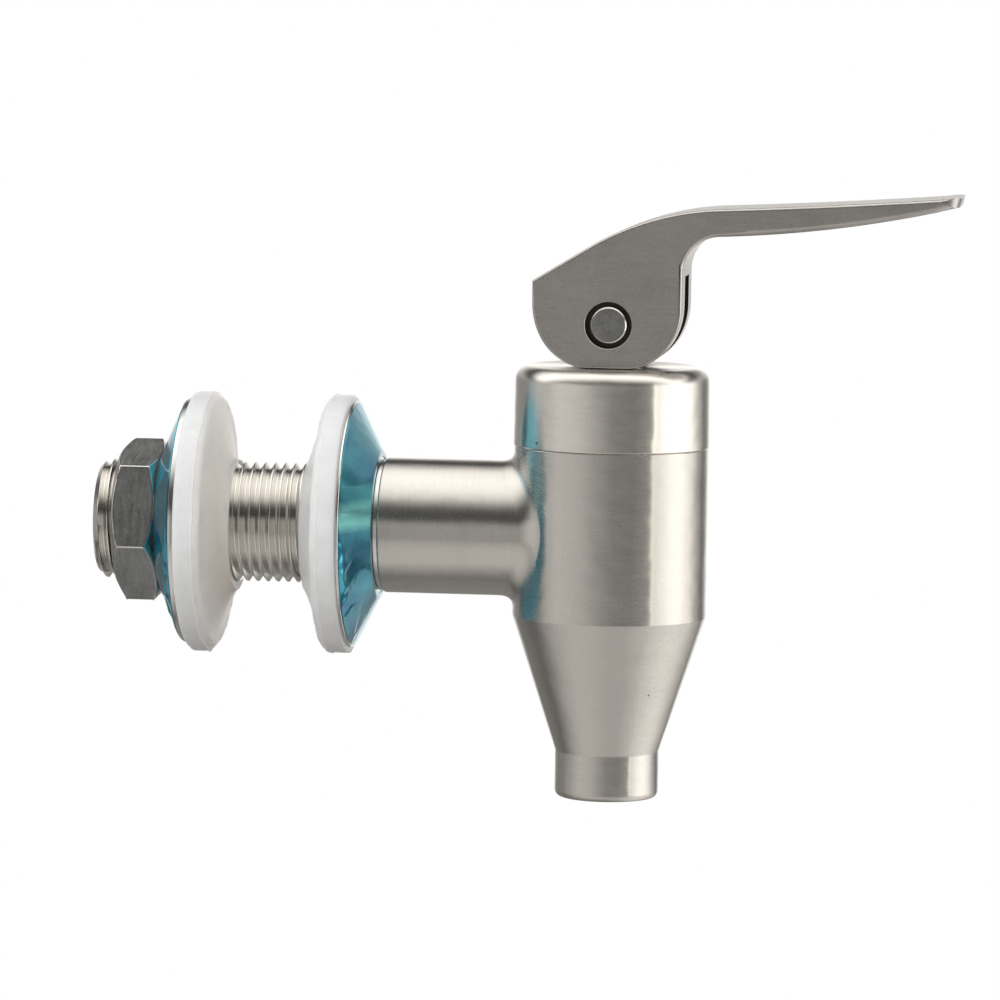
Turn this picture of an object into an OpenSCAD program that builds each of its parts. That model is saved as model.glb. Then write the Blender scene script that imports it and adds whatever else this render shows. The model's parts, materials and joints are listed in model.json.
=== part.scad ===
// Push-lever dispenser spigot, drawn about the axis of its threaded shank.
// The origin lies on that axis, in the front gasket's sealing face.
// +X runs to the barrel and the handle tip, +Z is up, and the tank is on the -X side.

/* [Shank and arm] */
// Outside diameter of the thread on the shank
thread_d = 16; // [14:0.5:17]
// Distance between two crests of the thread, which also sets the chamfers at its ends
thread_pitch = 1.36; // [1:0.01:2]
// Length of the shank behind the front gasket's sealing face
shank_length = 30.4; // [30:0.2:40]
// Diameter of the water passage through shank and arm
inlet_bore_d = 10.4; // [8:0.2:11]
// Outside diameter of the smooth arm
arm_d = 18; // [18:0.2:20]
// Distance from the front gasket's sealing face to the barrel's axis
arm_reach = 38; // [34:0.5:50]
// Length of the turned neck between washer and arm
neck_length = 0.7; // [0.4:0.1:1.5]

/* [Barrel and spout] */
// Outside diameter of the barrel
barrel_d = 25.7; // [25.2:0.1:30]
// Height of the seam between barrel and cap, above the shank's axis
seam_height = 11.3; // [11:0.1:14]
// Depth of the straight part of the barrel below the shank's axis
barrel_drop = 11.3; // [11:0.1:14]
// Height of the cone between barrel and spout
cone_height = 18; // [14:0.5:24]
// Outside diameter of the spout
spout_d = 13.8; // [13:0.1:16]
// Length of the straight spout
spout_length = 6.2; // [4:0.1:14]
// Diameter of the outlet bore
outlet_bore_d = 9.2; // [7:0.1:10]
// Rounding of the spout's lower rim
spout_lip_r = 0.9; // [0.3:0.1:1.4]
// Inside diameter of the valve chamber
chamber_d = 18.8; // [18:0.1:19.6]

/* [Cap] */
// Height of the cap above the seam
cap_height = 10.6; // [10:0.1:14]
// Rounding of the cap's top edge
cap_edge_r = 1.9; // [0.8:0.1:3]
// How much wider than the barrel the cap is, in diameter
cap_overhang = 0.3; // [0:0.05:0.8]
// Depth of the cap's skirt inside the barrel
skirt_depth = 4.3; // [3:0.1:5]
// Thickness of the cap's roof
cap_roof = 3.4; // [2.5:0.1:4]

/* [Lever] */
// Width of the lever across both cheeks
lever_w = 14; // [12:0.2:18]
// Width of the slot between the cheeks
slot_w = 5.6; // [5:0.1:6.4]
// Height of the pin above the cap when the lever is at rest
cam_base = 5.7; // [5.3:0.1:6.5]
// Stem lift for each radian that the handle is pressed down
press_lift = 2.5; // [1.5:0.1:3]
// Growth of the rear cam for each radian that the handle is tipped back
tip_lift = 2.79; // [1.5:0.01:3.2]
// Length of the handle from the throat to the tip
handle_length = 31; // [24:0.5:45]
// Radius of the throat under the handle
throat_r = 5.85; // [4:0.05:7]
// Rounding of the handle tip's corners, seen from above
tip_corner_r = 3.5; // [1:0.1:6]
// Diameter of the pivot pin
pin_d = 4.8; // [4:0.1:5]
// Diameter of the recess round each end of the pin
pin_recess_d = 6.2; // [5.6:0.1:7]
// Depth of the recess round each end of the pin
pin_recess_depth = 1.2; // [0.5:0.1:2]

/* [Valve] */
// Diameter of the stem
stem_d = 8; // [7:0.1:8.4]
// Thickness of the tongue at the stem's top
tongue_w = 5.2; // [4.2:0.1:5.4]
// Diameter of the shoulder that carries the spring washer
shoulder_d = 10; // [9:0.1:11]
// Diameter of the button that pulls the seat cup
button_d = 8.8; // [7:0.1:9.4]
// Wire diameter of the return spring
spring_wire_d = 1; // [0.6:0.1:1.4]
// Mean diameter of the return spring
spring_mean_d = 11.2; // [10.6:0.1:11.4]
// Turns of the return spring
spring_turns = 7; // [5:1:9]
// Diameter of the spring washer
spring_washer_d = 12.6; // [12:0.1:12.8]
// Thickness of the spring washer
spring_washer_t = 0.8; // [0.5:0.1:1.2]
// Wall of the soft seat cup
cup_wall = 1; // [0.6:0.1:1.1]
// Room round the seat cup for the drink
cup_room = 1.7; // [1.7:0.1:2]

/* [Washers, gaskets and nut] */
// Outside diameter of the gaskets
gasket_d = 34.4; // [33:0.2:40]
// Thickness of the gaskets at the rim
gasket_t = 3.5; // [2.5:0.1:5]
// Height of the gasket's flared hub beyond its sealing face
hub_height = 3; // [2:0.1:4]
// Diameter of the flared hub where it meets the sealing face
hub_d = 25.8; // [23:0.2:27]
// Distance between the two sealing faces, with the hubs still apart
clamp_gap = 14.5; // [13:0.1:18]
// Outside diameter of the dished washers
washer_d = 32.8; // [30:0.2:33]
// Height of the dished washers
washer_h = 3.7; // [3:0.1:5]
// Sheet thickness of the dished washers
washer_t = 0.9; // [0.5:0.1:1.2]
// Diameter of the flat land round the washer's hole
washer_land_d = 19.4; // [19:0.1:22]
// Thickness of the protective film on the washers
film_t = 0.12; // [0.05:0.01:0.2]
// Width of the nut across its flats
nut_af = 19; // [18.6:0.1:24]
// Thickness of the nut
nut_t = 6; // [4:0.1:8]

/* [Hidden] */
$fn = 96;

// Clearances
running_gap = 0.08;    // stem in the cap, washers and gaskets on the shank
pin_gap = 0.05;        // pin in the stem's eye
cam_gap = 0.1;         // cam above the cap
soft_gap = 0.3;        // round the button inside the soft cup
fit_gap = 0.05;        // cap skirt in the barrel
nut_gap = 0.1;         // nut thread to shank crest

// Radii used by more than one piece
shank_r = thread_d / 2;
inlet_r = inlet_bore_d / 2;
arm_r = arm_d / 2;
barrel_r = barrel_d / 2;
spout_r = spout_d / 2;
outlet_r = outlet_bore_d / 2;
chamber_r = chamber_d / 2;
stem_r = stem_d / 2;
pin_r = pin_d / 2;
gasket_r = gasket_d / 2;
hub_r = hub_d / 2;
washer_r = washer_d / 2;
land_r = washer_land_d / 2;

// Heights on the barrel's axis
cone_top_z = -barrel_drop;
spout_top_z = cone_top_z - cone_height;
spout_end_z = spout_top_z - spout_length;
cap_top_z = seam_height + cap_height;
skirt_end_z = seam_height - skirt_depth;
cup_flange_t = 1.6;
ledge_z = skirt_end_z - cup_flange_t;
cap_ceiling_z = cap_top_z - cap_roof;
seat_z = cone_top_z - 0.9;
seat_depth = 1.6;
funnel_z = cone_top_z + 0.6;
pin_z = cap_top_z + cam_gap + cam_base;

// Inside radii of barrel and cap
skirt_wall = 1.5;
skirt_r = chamber_r + 1.1;
cap_inner_r = skirt_r - skirt_wall;

// Stations along the shank
neck_x = gasket_t + washer_h;
arm_x = neck_x + neck_length;
neck_r = min(shank_r + 0.7, arm_r - 0.3);
shank_end_x = -shank_length;
thread_chamfer = 0.6 * thread_pitch;
washer_edge_t = 0.7;
cone_foot_r = washer_r - 0.1;
dish_slope = (washer_h - washer_edge_t) / (cone_foot_r - land_r);
spigot_wall = 1.4;
spigot_r = inlet_r + spigot_wall;
spigot_depth = barrel_r - skirt_r - 0.35;

// Stem stations, from the button up
nose_t = 4;
button_z = seat_z + nose_t;
button_t = 2;
stem_neck_r = 2.6;
stem_neck_length = 2.5;
shoulder_foot_z = button_z + button_t + stem_neck_length;
shoulder_length = 4.6;
shoulder_z = shoulder_foot_z + shoulder_length;
tongue_foot_z = pin_z - cam_base - tip_lift * PI / 2 - 0.4;
eye_top = 4;
spring_r = spring_mean_d / 2;
wire_r = spring_wire_d / 2;
spring_foot_z = shoulder_z + spring_washer_t;

steel = [0.72, 0.71, 0.69];
dark_steel = [0.5, 0.5, 0.49];
bright_steel = [0.8, 0.8, 0.79];
film_blue = [0.35, 0.6, 0.68];
silicone = [0.93, 0.94, 0.94];

// Turns a profile drawn as [radius, x] about the shank's axis
module about_shank() {
    rotate([90, 0, 90])
        rotate_extrude()
            children();
}

// Places what is drawn about the vertical axis onto the barrel's axis
module on_barrel_axis() {
    translate([arm_reach, 0, 0])
        children();
}

// Mirrors a front clamp piece to the tank's other side
module on_rear_side() {
    translate([-clamp_gap, 0, 0])
        mirror([1, 0, 0])
            children();
}

// Points of a round corner: centre, radius, first and last angle
function corner(c, r, a0, a1, n = 8) =
    [for (i = [0:n]) c + r * [cos(a0 + (a1 - a0) * i / n), sin(a0 + (a1 - a0) * i / n)]];

// Barrel, cone and spout in one turned piece
module barrel_outline() {
    polygon(concat(
        [[0, seam_height], [barrel_r, seam_height], [barrel_r, cone_top_z], [spout_r, spout_top_z]],
        corner([spout_r - spout_lip_r, spout_end_z + spout_lip_r], spout_lip_r, 0, -90),
        [[0, spout_end_z]]
    ));
}

// Chamber, seat funnel and outlet, with the step that the cup's flange lies on
module valve_passage() {
    over = 1;
    polygon([
        [0, seam_height + over],
        [skirt_r + fit_gap, seam_height + over],
        [skirt_r + fit_gap, ledge_z],
        [chamber_r, ledge_z],
        [chamber_r, funnel_z],
        [outlet_r + seat_depth, seat_z],
        [outlet_r, seat_z - seat_depth],
        [outlet_r, spout_end_z - over],
        [0, spout_end_z - over]
    ]);
}

module valve_body() {
    color(steel)
    difference() {
        on_barrel_axis()
            rotate_extrude()
                difference() {
                    barrel_outline();
                    valve_passage();
                }
        // Socket and passage for the shank's spigot
        rotate([0, 90, 0])
            cylinder(h = arm_reach - barrel_r + spigot_depth, r = spigot_r);
        rotate([0, 90, 0])
            cylinder(h = arm_reach, r = inlet_r);
    }
}

// Thread, neck and arm turned from one bar, cut to saddle against the barrel
module inlet_shank() {
    color(steel)
    difference() {
        union() {
            difference() {
                about_shank()
                    polygon([
                        [0, shank_end_x],
                        [shank_r - thread_chamfer, shank_end_x],
                        [shank_r, shank_end_x + thread_chamfer],
                        [shank_r, neck_x],
                        [neck_r, neck_x],
                        [neck_r, arm_x],
                        [arm_r, arm_x],
                        [arm_r, arm_reach],
                        [0, arm_reach]
                    ]);
                on_barrel_axis()
                    cylinder(h = 4 * arm_r, r = barrel_r, center = true);
            }
            rotate([0, 90, 0])
                cylinder(h = arm_reach - barrel_r + spigot_depth, r = spigot_r);
        }
        translate([shank_end_x - 1, 0, 0])
            rotate([0, 90, 0])
                cylinder(h = shank_length + arm_reach, r = inlet_r);
    }
}

// Screwed cap: round-edged outside, spring room inside, guide hole for the stem
module cap() {
    top_r = barrel_r + 0.02;
    foot_r = barrel_r + cap_overhang / 2;
    color(steel)
    on_barrel_axis()
        rotate_extrude()
            polygon(concat(
                [
                    [stem_r + running_gap, cap_top_z - 0.3],
                    [stem_r + running_gap, cap_ceiling_z],
                    [cap_inner_r, cap_ceiling_z],
                    [cap_inner_r, skirt_end_z],
                    [skirt_r, skirt_end_z],
                    [skirt_r, seam_height],
                    [foot_r, seam_height]
                ],
                corner([top_r - cap_edge_r, cap_top_z - cap_edge_r], cap_edge_r, 0, 90, 12),
                [[stem_r + running_gap + 0.3, cap_top_z]]
            ));
}

// Point of a spiral cam that lifts the pin by rate for each radian of turn
function cam_point(angle, rate) =
    let(reach = cam_base + rate * angle * PI / 180)
    [reach * sin(angle) + rate * cos(angle), -reach * cos(angle) + rate * sin(angle)];

function cam_curve(rate, a0, a1, n = 24) =
    [for (i = [0:n]) cam_point(a0 + (a1 - a0) * i / n, rate)];

function mirrored_x(points) = [for (p = points) [-p[0], p[1]]];

// Points of a bend that starts at a point with a heading and turns left for a positive turn
function bend(start, heading, radius, turn, n = 12) =
    let(side = sign(turn))
    [for (i = [0:n])
        let(h = heading + turn * i / n)
        start + side * radius * [sin(h) - sin(heading), cos(heading) - cos(h)]];

function last(points) = points[len(points) - 1];

// Lever seen from the side, with the pin at the origin
heel_height = 5.7;
heel_x = -(cam_base + tip_lift * PI / 2 + 0.02);
brow_heading = 31.5;
brow_length = 8.6;
brow_r = 36;
handle_heading = 2.6;
handle_top_r = 600;
under_heading = 2.3;
under_r = 165;
throat_height = 6.9;
front_x = cam_base + press_lift * PI / 2;

brow_start = [heel_x, heel_height];
brow_bend_start = brow_start + brow_length * [cos(brow_heading), sin(brow_heading)];
brow_curve = bend(brow_bend_start, brow_heading, brow_r, handle_heading - brow_heading);
throat_curve = bend([front_x, throat_height], 90, throat_r, under_heading - 90);
under_turn = handle_length / under_r * 180 / PI;
under_curve = bend(last(throat_curve), under_heading, under_r, under_turn, 10);
tip_x = last(under_curve)[0] + 0.4;
top_run = tip_x - last(brow_curve)[0];
top_turn = top_run / handle_top_r * 180 / PI;
top_curve = bend(last(brow_curve), handle_heading, handle_top_r, top_turn, 10);

module lever_outline() {
    polygon(concat(
        cam_curve(press_lift, 0, 90),
        throat_curve,
        under_curve,
        [for (i = [len(top_curve) - 1:-1:0]) top_curve[i]],
        [for (i = [len(brow_curve) - 2:-1:0]) brow_curve[i]],
        [brow_start],
        mirrored_x(cam_curve(tip_lift, 90, 0))
    ));
}

// Slot for the tongue: open below, in front and behind, lower at the back
module slot_outline() {
    roof = 6.4;
    rear_roof = 4.6;
    rear_step = 5;
    past = 3;
    floor_y = -cam_base - press_lift - past;
    polygon([
        [heel_x - past, floor_y],
        [front_x + past, floor_y],
        [front_x + past, roof],
        [-rear_step, roof],
        [-rear_step - (roof - rear_roof), rear_roof],
        [heel_x - past, rear_roof]
    ]);
}

// Stands a side outline upright at the pin, centred on the lever's mid-plane
module across_lever(width) {
    translate([arm_reach, width / 2, pin_z])
        rotate([90, 0, 0])
            linear_extrude(height = width)
                children();
}

// A round hole or rod on the pin's axis
module on_pin_axis(length, r) {
    translate([arm_reach, length / 2, pin_z])
        rotate([90, 0, 0])
            cylinder(h = length, r = r);
}

// Outline of the handle from above, which rounds the tip's corners
module lever_plan() {
    inset = lever_w / 2 - tip_corner_r;
    end_x = arm_reach + tip_x;
    polygon(concat(
        [[arm_reach + heel_x - 2, -lever_w], [arm_reach + front_x, -lever_w],
         [arm_reach + front_x, -lever_w / 2]],
        corner([end_x - tip_corner_r, -inset], tip_corner_r, -90, 0),
        corner([end_x - tip_corner_r, inset], tip_corner_r, 0, 90),
        [[arm_reach + front_x, lever_w / 2],
         [arm_reach + front_x, lever_w], [arm_reach + heel_x - 2, lever_w]]
    ));
}

module lever() {
    color(steel)
    difference() {
        intersection() {
            across_lever(lever_w)
                lever_outline();
            translate([0, 0, pin_z - 2 * cam_base])
                linear_extrude(height = 40 + 2 * cam_base)
                    lever_plan();
        }
        across_lever(slot_w)
            slot_outline();
        on_pin_axis(2 * lever_w, pin_r);
        for (side = [-1, 1])
            translate([0, side * (lever_w - pin_recess_depth), 0])
                on_pin_axis(lever_w, pin_recess_d / 2);
    }
}

// Plain pin with chamfered ends, held by the cheeks
module pivot_pin() {
    end_inset = 0.15;
    chamfer = 0.3;
    half = lever_w / 2 - end_inset;
    color(dark_steel)
    translate([arm_reach, 0, pin_z])
        rotate([90, 0, 0])
            rotate_extrude()
                polygon([
                    [0, -half],
                    [pin_r - chamfer, -half],
                    [pin_r, -half + chamfer],
                    [pin_r, half - chamfer],
                    [pin_r - chamfer, half],
                    [0, half]
                ]);
}

// Round rod with a flat tongue and eye above, a shoulder and a pull button below
module stem() {
    lead = 0.5;
    color(bright_steel)
    difference() {
        union() {
            on_barrel_axis()
                rotate_extrude()
                    polygon([
                        [0, button_z],
                        [button_d / 2 - lead, button_z],
                        [button_d / 2, button_z + lead],
                        [button_d / 2, button_z + button_t],
                        [stem_neck_r, button_z + button_t],
                        [stem_neck_r, shoulder_foot_z],
                        [shoulder_d / 2, shoulder_foot_z],
                        [shoulder_d / 2, shoulder_z],
                        [stem_r, shoulder_z],
                        [stem_r, tongue_foot_z],
                        [0, tongue_foot_z]
                    ]);
            intersection() {
                on_barrel_axis()
                    translate([0, 0, tongue_foot_z])
                        cylinder(h = pin_z - tongue_foot_z + eye_top, r = stem_r);
                across_lever(tongue_w)
                    union() {
                        translate([-stem_r, tongue_foot_z - pin_z])
                            square([2 * stem_r, pin_z - tongue_foot_z]);
                        circle(r = eye_top);
                    }
            }
        }
        on_pin_axis(2 * lever_w, pin_r + pin_gap);
    }
}

module spring_washer() {
    color(bright_steel)
    on_barrel_axis()
        translate([0, 0, shoulder_z])
            difference() {
                cylinder(h = spring_washer_t, r = spring_washer_d / 2);
                translate([0, 0, -1])
                    cylinder(h = spring_washer_t + 2, r = stem_r + running_gap);
            }
}

// Coil swept as one closed skin of rings, each with ring_sides points
ring_sides = 8;
rings_per_turn = 20;

function coil_points(turns, foot, height) =
    let(count = turns * rings_per_turn)
    [for (i = [0:count])
        let(a = 360 * i / rings_per_turn)
        let(z = foot + height * i / count)
        for (j = [0:ring_sides - 1])
            let(b = 360 * j / ring_sides)
            let(r = spring_r + wire_r * cos(b))
            [r * cos(a), r * sin(a), z + wire_r * sin(b)]];

function coil_faces(count) = concat(
    [[for (j = [0:ring_sides - 1]) j]],
    [for (i = [0:count - 1])
        for (j = [0:ring_sides - 1])
            let(k = (j + 1) % ring_sides)
            [i * ring_sides + j, (i + 1) * ring_sides + j, (i + 1) * ring_sides + k, i * ring_sides + k]],
    [[for (j = [ring_sides - 1:-1:0]) count * ring_sides + j]]
);

module return_spring() {
    foot = spring_foot_z + wire_r;
    height = cap_ceiling_z - spring_foot_z - 2 * wire_r;
    color(bright_steel)
    on_barrel_axis()
        polyhedron(
            points = coil_points(spring_turns, foot, height),
            faces = coil_faces(spring_turns * rings_per_turn),
            convexity = 10
        );
}

// Soft cup: flange under the cap's skirt, thin folding wall, nose on the seat
module seat_cup() {
    wall_r = chamber_r - cup_room;
    inner_r = wall_r - cup_wall;
    nose_r = outlet_r + seat_depth - 0.07;
    nose_reach = 1;
    pocket_r = button_d / 2 + soft_gap;
    pocket_z = button_z - soft_gap;
    pocket_top = button_z + button_t + soft_gap;
    neck_r = stem_neck_r + soft_gap;
    collar_top = shoulder_foot_z - soft_gap;
    knee_z = shoulder_z - 1.5;
    collar_r = max(shoulder_d / 2 + soft_gap, pocket_r + 0.4);
    color(silicone)
    on_barrel_axis()
        rotate_extrude()
            polygon([
                [0, seat_z - nose_reach],
                [nose_r - nose_reach, seat_z - nose_reach],
                [nose_r, seat_z],
                [nose_r, seat_z + 1],
                [pocket_r + cup_wall + 0.4, pocket_top],
                [collar_r + cup_wall, collar_top],
                [wall_r, knee_z],
                [wall_r, ledge_z],
                [skirt_r, ledge_z],
                [skirt_r, skirt_end_z],
                [inner_r, skirt_end_z],
                [inner_r, knee_z + 0.3],
                [collar_r, collar_top + 0.3],
                [collar_r, collar_top],
                [neck_r, collar_top],
                [neck_r, pocket_top],
                [pocket_r, pocket_top],
                [pocket_r, pocket_z],
                [0, pocket_z]
            ]);
}

// Soft gasket: round-edged rim and a hollow-flared hub that centres it in the tank's hole
module gasket_profile() {
    bore = shank_r + fit_gap;
    tip_r = bore + 0.6;
    edge_r = 1.1;
    flare_r = hub_r - tip_r;
    polygon(concat(
        [[bore, gasket_t], [gasket_r - 0.4, gasket_t], [gasket_r, gasket_t - 0.4]],
        corner([gasket_r - edge_r, edge_r], edge_r, 0, -90),
        [for (i = [0:10])
            let(a = 90 * i / 10)
            [hub_r - flare_r * sin(a), -hub_height * (1 - cos(a))]],
        [[bore, -hub_height]]
    ));
}

module front_gasket() {
    color(silicone)
    about_shank()
        gasket_profile();
}

// Dished washer: the rim presses on the gasket and the land stands against the arm
module washer_profile() {
    hole_r = shank_r + 2 * running_gap;
    drop = washer_t * sqrt(1 + dish_slope * dish_slope);
    foot_x = gasket_t + washer_edge_t;
    inner_foot_r = cone_foot_r - (drop - washer_edge_t) / dish_slope;
    inner_land_r = cone_foot_r - (neck_x - washer_t - foot_x + drop) / dish_slope;
    polygon([
        [washer_r, gasket_t],
        [washer_r, foot_x],
        [cone_foot_r, foot_x],
        [land_r, neck_x],
        [hole_r, neck_x],
        [hole_r, neck_x - washer_t],
        [inner_land_r, neck_x - washer_t],
        [inner_foot_r, gasket_t]
    ]);
}

module front_washer() {
    color(bright_steel)
    about_shank()
        washer_profile();
}

// Thin film left on the washer's cone, short of its rim and land
module film_profile() {
    rim_margin = 0.5;
    land_margin = 0.3;
    outer_r = cone_foot_r - rim_margin;
    inner_r = land_r + land_margin;
    outer_x = gasket_t + washer_edge_t + rim_margin * dish_slope;
    inner_x = neck_x - land_margin * dish_slope;
    polygon([
        [outer_r, outer_x],
        [outer_r, outer_x + film_t],
        [inner_r, inner_x + film_t],
        [inner_r, inner_x]
    ]);
}

module front_washer_film() {
    color(film_blue)
    about_shank()
        film_profile();
}

module rear_gasket() {
    on_rear_side()
        front_gasket();
}

module rear_washer() {
    on_rear_side()
        front_washer();
}

module rear_washer_film() {
    on_rear_side()
        front_washer_film();
}

// Thin hexagon nut, chamfered on both faces
module hex_nut() {
    corner_r = nut_af / sqrt(3);
    face_r = 0.475 * nut_af;
    blank_r = corner_r + 1;
    chamfer = (blank_r - face_r) * tan(30);
    near_x = -clamp_gap - neck_x;
    far_x = near_x - nut_t;
    turned = 22;
    bore_r = shank_r + nut_gap;
    lead = thread_chamfer / 2;
    color(dark_steel)
    difference() {
        intersection() {
            translate([far_x, 0, 0])
                rotate([90, 0, 90])
                    linear_extrude(height = nut_t)
                        rotate(turned)
                            circle(r = corner_r, $fn = 6);
            about_shank()
                polygon([
                    [0, far_x],
                    [face_r, far_x],
                    [blank_r, far_x + chamfer],
                    [blank_r, near_x - chamfer],
                    [face_r, near_x],
                    [0, near_x]
                ]);
        }
        about_shank()
            polygon([
                [0, far_x - 1],
                [bore_r + lead, far_x - 1],
                [bore_r + lead, far_x],
                [bore_r, far_x + lead],
                [bore_r, near_x - lead],
                [bore_r + lead, near_x],
                [bore_r + lead, near_x + 1],
                [0, near_x + 1]
            ]);
    }
}

valve_body();
inlet_shank();
cap();
lever();
pivot_pin();
stem();
spring_washer();
return_spring();
seat_cup();
front_gasket();
front_washer();
front_washer_film();
rear_gasket();
rear_washer();
rear_washer_film();
hex_nut();
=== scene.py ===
import json
import math

import bmesh
import bpy
from mathutils import Matrix, Vector, noise


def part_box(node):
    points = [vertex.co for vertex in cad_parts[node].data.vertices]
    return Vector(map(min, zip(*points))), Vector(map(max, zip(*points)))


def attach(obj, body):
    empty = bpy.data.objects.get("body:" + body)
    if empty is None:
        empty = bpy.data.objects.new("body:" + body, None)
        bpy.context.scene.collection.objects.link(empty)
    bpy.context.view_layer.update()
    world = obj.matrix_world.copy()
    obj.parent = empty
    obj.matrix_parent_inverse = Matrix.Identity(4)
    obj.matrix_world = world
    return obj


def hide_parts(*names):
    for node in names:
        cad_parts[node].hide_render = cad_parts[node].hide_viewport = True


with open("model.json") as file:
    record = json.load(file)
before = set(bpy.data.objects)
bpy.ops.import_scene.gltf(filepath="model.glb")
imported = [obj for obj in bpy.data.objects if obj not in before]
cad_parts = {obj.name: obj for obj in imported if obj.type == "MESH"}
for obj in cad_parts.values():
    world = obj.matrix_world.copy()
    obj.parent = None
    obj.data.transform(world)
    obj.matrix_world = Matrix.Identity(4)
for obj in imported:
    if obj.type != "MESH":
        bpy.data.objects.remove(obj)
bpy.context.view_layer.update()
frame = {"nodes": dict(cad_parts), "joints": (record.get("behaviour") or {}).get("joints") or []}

MM = 0.001

# Sizes read from the frame, in millimetres


def low_high(node):
    """Lowest and highest corner of a CAD node, in millimetres."""
    low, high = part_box(node)
    return [c / MM for c in low], [c / MM for c in high]


def joint_named(name):
    """The record's entry for one joint."""
    return next(j for j in frame["joints"] if j["name"] == name)


body_low, body_high = low_high("valve_body")
cap_low, cap_high = low_high("cap")
shank_low, shank_high = low_high("inlet_shank")
gasket_low, gasket_high = low_high("front_gasket")
_, washer_high = low_high("front_washer")
_, rear_high = low_high("rear_gasket")
nut_low, nut_high = low_high("hex_nut")
lever_low, lever_high = low_high("lever")
pin_low, pin_high = low_high("pivot_pin")

AXIS_X = (body_low[0] + body_high[0]) / 2
PIN_X, _, PIN_Z = [c / MM for c in joint_named("lever_press")["pos_m"]]
BARREL_R = (body_high[0] - body_low[0]) / 2
SEAM_Z = body_high[2]
SPOUT_END = body_low[2]
CAP_TOP = cap_high[2]
CAP_R = cap_high[1]
SKIRT_END = cap_low[2]
SHANK_END = shank_low[0]
ARM_R = shank_high[1]
GASKET_R = gasket_high[1]
GASKET_T = gasket_high[0]
HUB_H = -gasket_low[0]
WASHER_R = washer_high[1]
NECK_X = washer_high[0]
CLAMP_GAP = HUB_H - rear_high[0]
NUT_NEAR, NUT_FAR = nut_high[0], nut_low[0]
LEVER_W = lever_high[1] - lever_low[1]
PIN_R = (pin_high[2] - pin_low[2]) / 2
PIN_HALF = pin_high[1]

# Sizes that a box doesn't give, in millimetres, the same as the solids have

THREAD_R = 8.0
THREAD_PITCH = 1.36
THREAD_DEPTH = 0.8
THREAD_END_CHAMFER = 0.82
INLET_R = 5.2
OUTLET_R = 4.6
CHAMBER_R = 9.4
CAP_ROOF = 3.4
CAP_BORE = 9.0
SKIRT_R = 10.5
SKIRT_BORE = 10.55
LEDGE_BELOW_SKIRT = 1.6
SEAT_DEPTH = 1.6
SEAT_BELOW_CONE_TOP = 0.9
CONE_TOP = -11.3
SPOUT_TOP = -29.3
SPOUT_R = 6.9
NECK_R = 8.7
ARM_START = 7.9
SPIGOT_R = 6.6
SPIGOT_END = 27.15
STEM_HOLE = 4.08
LAND_R = 9.7
FLARE_FOOT_R = 15.2
GASKET_BORE = 8.05
WASHER_BED = {"front": 0.4, "rear": 0.7}
WASHER_SHEET = 0.9
FILM_T = 0.1
NUT_AF = 19.0
NUT_TURN = 15.0
SLOT_W = 5.6

# The lever's outline round its pin: lengths in millimetres, headings in degrees above level

CAM_BASE = 5.7
PRESS_LIFT = 2.5
TIP_LIFT = 2.79
THROAT_Z = 6.9
THROAT_R = 4.95
UNDER_HEADING = 2.3
UNDER_R = 158.0
UNDER_LENGTH = 31.5
TIP_CORNER_R = 2.2
TIP_NOSE = 0.4
HEEL_Z = 5.7
BROW_HEADING = 31.5
BROW_LENGTH = 8.6
BROW_R = 36.0
TOP_HEADING = 2.6
TOP_R = 850.0
RECESS_R = 3.1
RECESS_DEPTH = 1.2


# Modelling helpers

# Vertices nearer than this, in millimetres, are one
MERGE = 0.002
# Turns a piece modelled along Z to lie along X
Z_TO_X = Matrix(((0, 0, 1, 0), (1, 0, 0, 0), (0, 1, 0, 0), (0, 0, 0, 1)))
# The same for Y
Z_TO_Y = Matrix(((0, 1, 0, 0), (0, 0, 1, 0), (1, 0, 0, 0), (0, 0, 0, 1)))


def clear_selection():
    """Leaves object mode with nothing selected."""
    if bpy.context.object and bpy.context.object.mode != "OBJECT":
        bpy.ops.object.mode_set(mode="OBJECT")
    bpy.ops.object.select_all(action="DESELECT")


def pick(piece):
    """Selects one piece alone."""
    clear_selection()
    piece.select_set(True)
    bpy.context.view_layer.objects.active = piece


def to_edit(piece):
    """Selects one piece alone and opens its mesh with everything selected."""
    pick(piece)
    bpy.ops.object.mode_set(mode="EDIT")
    bpy.ops.mesh.select_all(action="SELECT")


def fill_and_thicken(width):
    """Fills the drawn outline and extrudes it towards -Y by a width in millimetres."""
    bpy.ops.mesh.select_all(action="SELECT")
    bpy.ops.mesh.remove_doubles(threshold=0.5 * MERGE * MM)
    bpy.ops.mesh.edge_face_add()
    bpy.ops.mesh.extrude_region_move(TRANSFORM_OT_translate={"value": (0, -width * MM, 0)})


def close_edit():
    """Merges doubles, turns the normals outwards and goes back to object mode."""
    bpy.ops.mesh.select_all(action="SELECT")
    bpy.ops.mesh.remove_doubles(threshold=MERGE * MM)
    bpy.ops.mesh.dissolve_degenerate(threshold=0.25 * MERGE * MM)
    bpy.ops.mesh.normals_make_consistent(inside=False)
    bpy.ops.object.mode_set(mode="OBJECT")


def smooth(piece, angle=30, weighted=True):
    """Smooth shading up to an angle, with the large faces kept flat."""
    pick(piece)
    bpy.ops.object.shade_smooth_by_angle(angle=math.radians(angle))
    if weighted:
        modifier = piece.modifiers.new("flat faces", "WEIGHTED_NORMAL")
        modifier.keep_sharp = True
        modifier.weight = 80
        bpy.ops.object.modifier_apply(modifier=modifier.name)


def apply(piece, kind, **settings):
    """Adds a modifier to a piece and applies it."""
    pick(piece)
    modifier = piece.modifiers.new(kind.lower(), kind)
    for key, value in settings.items():
        setattr(modifier, key, value)
    bpy.ops.object.modifier_apply(modifier=modifier.name)


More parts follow.
